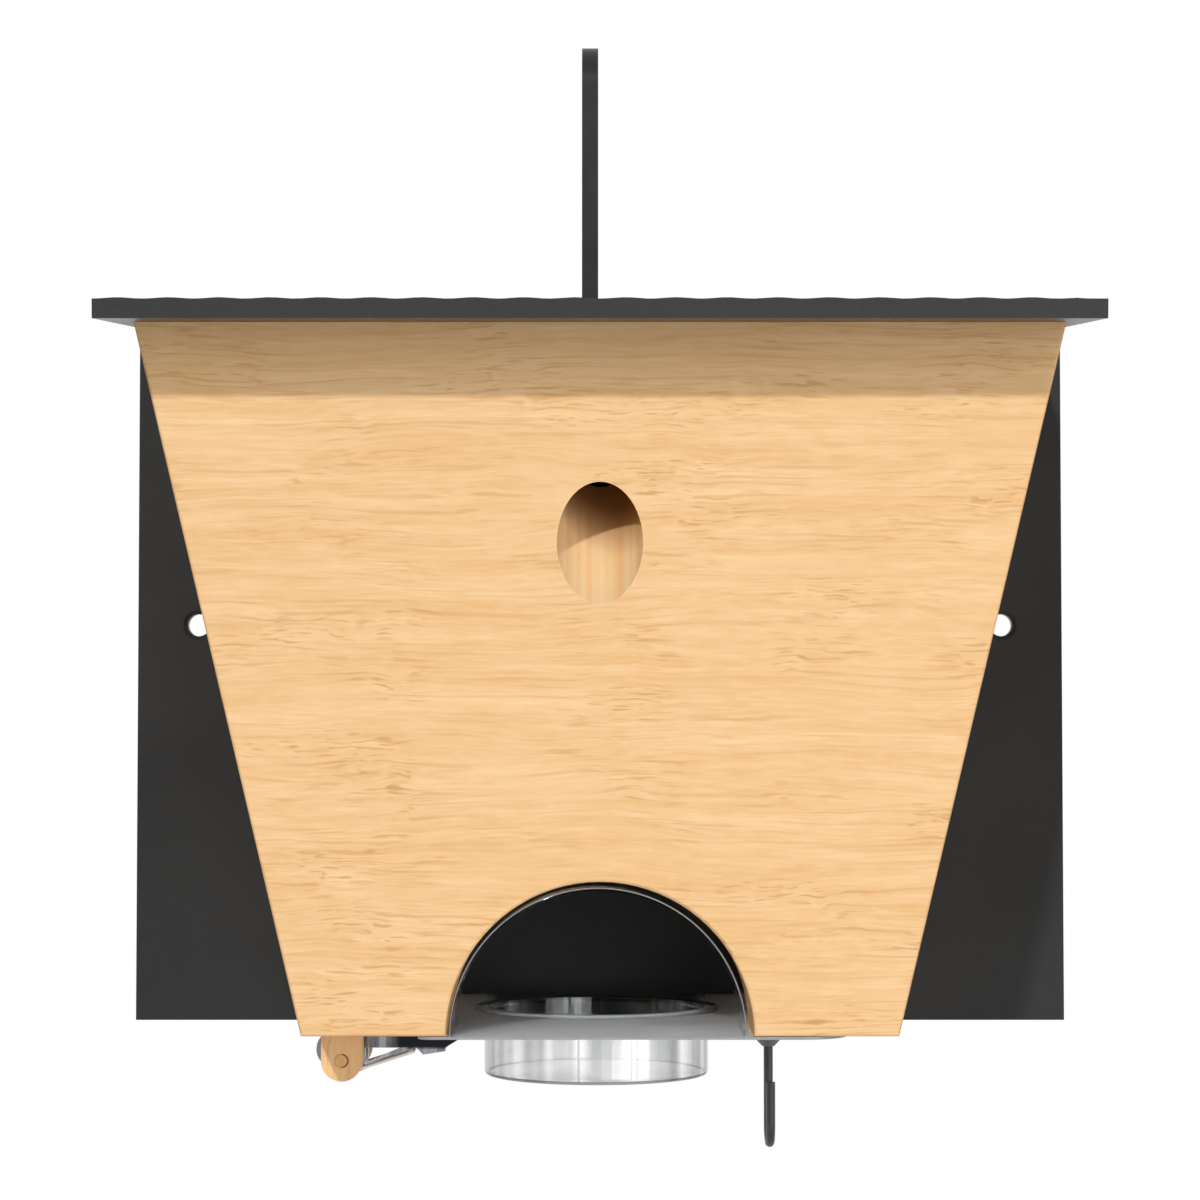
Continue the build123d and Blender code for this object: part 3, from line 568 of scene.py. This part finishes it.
lever_rough = add(lever_steel, "MapRange", {"Value": roll_mark.outputs["Fac"], "To Min": 0.14,
                                            "To Max": 0.26})
drive(lever_steel, lever_shader, Base_Color=lever_tint.outputs[2], Roughness=lever_rough.outputs[0])
lever_shader.inputs["Metallic"].default_value = 1.0
wear("latch_lever", lever_steel)


# Latch spring
# A double torsion spring of bright drawn wire: a coil on each boss, a leg up to the side board
# and an arm along each ear, joined by a bridge under the lever. Each half winds up from its leg to its arm.
wire = 0.0006
coil_radius = 0.0025
coil_pitch = 0.00063
coil_turns = 3
turn_steps = 32
lever_hub = 0.0031
lever_half = 0.0041
ear_corner = (0.011138, 0.0013)
bridge_seat = 0.0006
wire_gap = 0.00005
leg_rise = 0.00553
wire_bend = 0.0008
wire_sides = 14
ring_reach = 0.51 * wire
hair = 0.00001
draw_mark_size = 0.8
spring_grey = "#E2E3E5"
spring_bright = "#FFFFFD"


def tangent_below(radius, x, z):
    """Angle about the pin where a line from under a round leaves for a point."""
    return atan2(z, x) - pi / 2 + asin(radius / hypot(x, z))


def pick_ring(piece, centre, across):
    """Goes into edit mode with just the ring of vertices selected that lies round the wire's centre,
    in the plane across a direction."""
    bpy.ops.object.mode_set(mode="EDIT")
    bpy.ops.mesh.select_mode(type="VERT")
    bpy.ops.mesh.select_all(action="DESELECT")
    bpy.ops.object.mode_set(mode="OBJECT")
    for vertex in piece.data.vertices:
        offset = vertex.co - centre
        vertex.select = offset.length < ring_reach and abs(offset.dot(across)) < hair
    bpy.ops.object.mode_set(mode="EDIT")


ear_slope = tangent_below(lever_hub, *ear_corner) + pi / 2
bridge_drop = wire / 2 + wire_gap
bridge_x = ear_corner[0] - bridge_seat * cos(ear_slope) + bridge_drop * sin(ear_slope)
bridge_z = ear_corner[1] - bridge_seat * sin(ear_slope) - bridge_drop * cos(ear_slope)
leave = tangent_below(coil_radius, bridge_x, bridge_z)
wound = 2 * pi * coil_turns + leave + pi
coil_length = coil_pitch * wound / (2 * pi)
wire_lean = coil_pitch / (2 * pi * coil_radius)
arm_run = hypot(bridge_x - coil_radius * cos(leave), bridge_z - coil_radius * sin(leave))
arm_y = -lever_half - wire_gap - wire / 2
inner_y = arm_y - wire_lean * arm_run
outer_y = inner_y - coil_length
coil_start = Vector((-coil_radius, outer_y, 0.0))
coil_end = Vector((coil_radius * cos(leave), inner_y, coil_radius * sin(leave)))
bridge_end = Vector((bridge_x, arm_y, bridge_z))
arm = (bridge_end - coil_end).normalized()
upwards = Vector((0.0, 0.0, 1.0))
tangent = Vector((-sin(leave), 0.0, cos(leave)))
inward = Vector((0.0, 1.0, 0.0))
bend_start = bridge_end - wire_bend * arm

bpy.ops.object.select_all(action="DESELECT")
bpy.ops.mesh.primitive_circle_add(vertices=wire_sides, radius=wire / 2, location=coil_start)
front_spring = bpy.context.object
front_spring.name = "latch_spring_front"
bpy.ops.object.transform_apply(location=True, rotation=False, scale=False)
coil = front_spring.modifiers.new("coil", "SCREW")
coil.axis = "Y"
coil.angle = -wound
coil.screw_offset = coil_length
coil.steps = coil.render_steps = turn_steps * coil_turns
bpy.ops.object.modifier_apply(modifier=coil.name)
pick_ring(front_spring, coil_start, upwards)
bpy.ops.mesh.extrude_region_move(TRANSFORM_OT_translate={"value": (0.0, -wire_lean * leg_rise, leg_rise)})
bpy.ops.mesh.edge_face_add()
pick_ring(front_spring, coil_end, tangent)
bpy.ops.mesh.extrude_region_move(TRANSFORM_OT_translate={"value": bend_start - coil_end})
bpy.ops.mesh.spin(steps=8, angle=-pi / 2, center=bend_start + wire_bend * inward,
                  axis=arm.cross(inward).normalized())
bpy.ops.mesh.extrude_region_move(TRANSFORM_OT_translate={"value": (-bend_start.y - wire_bend) * inward})
bpy.ops.mesh.edge_face_add()
bpy.ops.mesh.select_all(action="SELECT")
bpy.ops.mesh.remove_doubles(threshold=1e-7)
bpy.ops.mesh.normals_make_consistent(inside=False)
bpy.ops.object.mode_set(mode="OBJECT")
bpy.ops.object.duplicate()
rear_spring = bpy.context.object
rear_spring.name = "latch_spring_rear"
rear_spring.data.transform(Matrix.Scale(-1, 4, inward))
bpy.ops.object.mode_set(mode="EDIT")
bpy.ops.mesh.select_all(action="SELECT")
bpy.ops.mesh.normals_make_consistent(inside=False)
bpy.ops.object.mode_set(mode="OBJECT")

# Drawing leaves fine bright and grey flecks on the wire, and a clean glint
spring_steel, spring_shader = new_finish("bright_drawn_wire")
spring_coords = add(spring_steel, "TexCoord")
draw_mark = add(spring_steel, "TexNoise", {"Vector": spring_coords.outputs["Object"],
                                           "Scale": mm_per_m / draw_mark_size, "Detail": 3.0})
spring_tint = add(spring_steel, "Mix", {0: draw_mark.outputs["Fac"], 6: linear(spring_grey),
                                        7: linear(spring_bright)}, data_type="RGBA")
spring_rough = add(spring_steel, "MapRange", {"Value": draw_mark.outputs["Fac"], "To Min": 0.1,
                                              "To Max": 0.24})
drive(spring_steel, spring_shader, Base_Color=spring_tint.outputs[2], Roughness=spring_rough.outputs[0])
spring_shader.inputs["Metallic"].default_value = 0.5
for spring, side in ((front_spring, 1), (rear_spring, -1)):
    spring.data.transform(Matrix.Translation(hinge))
    spring.data.shade_smooth()
    spring.data.materials.append(spring_steel)
    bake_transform(spring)
    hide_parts("latch_spring")


# Camera, light and floor
# The view is from the front, a little below the middle and tilted up. One low sun stands to the upper left,
# a wide soft lamp fills from the right, another lights the back, and a low strip shows only in mirrors.
# A pale floor lies far below, because the trap hangs on a wall.
focal_px = 3150
frame_px = 1200
sensor = 36.0
camera_place = (0.0, -0.55405, -0.01872)
camera_tilt = 2.4
sun_travel = (0.25, 1.0, -0.55)
sun_strength = 1.48
sun_spread = 2.5
lamp_width = 1.2
one_bounce = 1
unlit = 0.1
unlit_mirror = 0.02
floor_colour = "#F2F2F2"
floor_height = -0.45
floor_reach = 3.9
glow_start = 0.5
glow_full = 1.3
glow_least = 0.4
white = (1.0, 1.0, 1.0, 1.0)
studio = bpy.context.scene
studio.view_settings.view_transform = "Standard"
camera_data = bpy.data.cameras.new("front_camera")
camera_data.sensor_width = sensor
camera_data.lens = sensor * focal_px / frame_px
camera_data.clip_start = 0.01
camera = bpy.data.objects.new("front_camera", camera_data)
camera.location = camera_place
camera.rotation_euler = (radians(90 + camera_tilt), 0.0, 0.0)
studio.collection.objects.link(camera)
studio.camera = camera

sun_data = bpy.data.lights.new("key_sun", "SUN")
sun_data.energy = sun_strength
sun_data.angle = radians(sun_spread)
sun = bpy.data.objects.new("key_sun", sun_data)
sun.rotation_mode = "QUATERNION"
sun.rotation_quaternion = Vector(sun_travel).to_track_quat("-Z", "Y")
studio.collection.objects.link(sun)
for name, place, height, watts, mirrored_only in (("fill_lamp", (0.7, -1.5, 0.1), 1.2, 11.3, False),
                                                  ("back_lamp", (-0.8, 1.4, 0.9), 1.2, 9.0, False),
                                                  ("strip_lamp", (0.96, -1.35, -0.24), 0.25, 2.2, True)):
    lamp_data = bpy.data.lights.new(name, "AREA")
    lamp_data.shape = "RECTANGLE"
    lamp_data.size = lamp_width
    lamp_data.size_y = height
    lamp_data.energy = watts
    lamp = bpy.data.objects.new(name, lamp_data)
    lamp.location = place
    lamp.rotation_mode = "QUATERNION"
    lamp.rotation_quaternion = (-lamp.location).to_track_quat("-Z", "Y")
    lamp.visible_glossy = mirrored_only
    lamp.visible_diffuse = not mirrored_only
    studio.collection.objects.link(lamp)

# The backdrop is white to the camera and straight through the clear plastic. In a mirror it is white
# behind the trap and nearly dark in front of it, where the studio is unlit
world = bpy.data.worlds.new("studio")
studio.world = world
world.use_nodes = True
backdrop = world.node_tree.nodes["Background"]
backdrop.inputs["Color"].default_value = white
rays = add(world, "LightPath")
look = add(world, "TexCoord")
ahead = add(world, "SeparateXYZ", {0: look.outputs["Generated"]})
behind = add(world, "MapRange", {"Value": ahead.outputs["Y"], "From Min": -0.5, "From Max": 0.35})
undiffused = add(world, "Math", {0: rays.outputs["Diffuse Depth"], 1: one_bounce}, operation="LESS_THAN")
unmirrored = add(world, "Math", {0: rays.outputs["Glossy Depth"], 1: one_bounce}, operation="LESS_THAN")
passing = add(world, "Math", {0: rays.outputs["Is Transmission Ray"], 1: undiffused.outputs[0]},
              operation="MULTIPLY")
through = add(world, "Math", {0: passing.outputs[0], 1: unmirrored.outputs[0]}, operation="MULTIPLY")
turned = add(world, "Math", {0: rays.outputs["Is Glossy Ray"], 1: passing.outputs[0]}, operation="MAXIMUM")
mirrored = add(world, "Math", {0: turned.outputs[0], 1: behind.outputs[0]}, operation="MULTIPLY")
strength = add(world, "MapRange", {"Value": rays.outputs["Is Glossy Ray"], "To Min": unlit,
                                   "To Max": unlit_mirror})
for seen in (rays.outputs["Is Camera Ray"], through.outputs[0], mirrored.outputs[0]):
    strength = add(world, "Math", {0: strength.outputs[0], 1: seen}, operation="MAXIMUM")
world.node_tree.links.new(strength.outputs[0], backdrop.inputs["Strength"])

# The floor ends before the hood's pane can mirror it, so the window stays dark. The further it is from the
# trap, the more it glows white where it is seen
bpy.ops.object.select_all(action="DESELECT")
bpy.ops.mesh.primitive_circle_add(vertices=64, radius=floor_reach, fill_type="NGON",
                                  location=(0, 0, floor_height))
floor = bpy.context.object
floor.name = "studio_floor"
pale, pale_shader = new_finish("pale_studio_floor")
pale_shader.inputs["Base Color"].default_value = linear(floor_colour)
pale_shader.inputs["Roughness"].default_value = 0.8
pale_coords = add(pale, "TexCoord")
spread = add(pale, "VectorMath", {0: pale_coords.outputs["Object"]}, operation="LENGTH")
fade = add(pale, "MapRange", {"Value": spread.outputs["Value"], "From Min": glow_start,
                              "From Max": glow_full, "To Min": glow_least},
           interpolation_type="SMOOTHSTEP")
floor_rays = add(pale, "LightPath")
glimpse = floor_rays.outputs["Is Camera Ray"]
for ray in ("Is Glossy Ray", "Is Transmission Ray"):
    glimpse = add(pale, "Math", {0: glimpse, 1: floor_rays.outputs[ray]}, operation="MAXIMUM").outputs[0]
far = add(pale, "Math", {0: fade.outputs[0], 1: glimpse}, operation="MULTIPLY")
glow = add(pale, "Emission", {"Color": white, "Strength": 1.0})
ends = add(pale, "MixShader", {0: far.outputs[0], 1: pale_shader.outputs[0], 2: glow.outputs[0]})
# From below the floor is see-through, so that the trap's underside can be looked at
side_seen = add(pale, "NewGeometry")
see_through = add(pale, "BsdfTransparent")
surface = add(pale, "MixShader", {0: side_seen.outputs["Backfacing"], 1: ends.outputs[0],
                                  2: see_through.outputs[0]})
pale.node_tree.links.new(surface.outputs[0], pale.node_tree.nodes["Material Output"].inputs["Surface"])
floor.data.materials.append(pale)
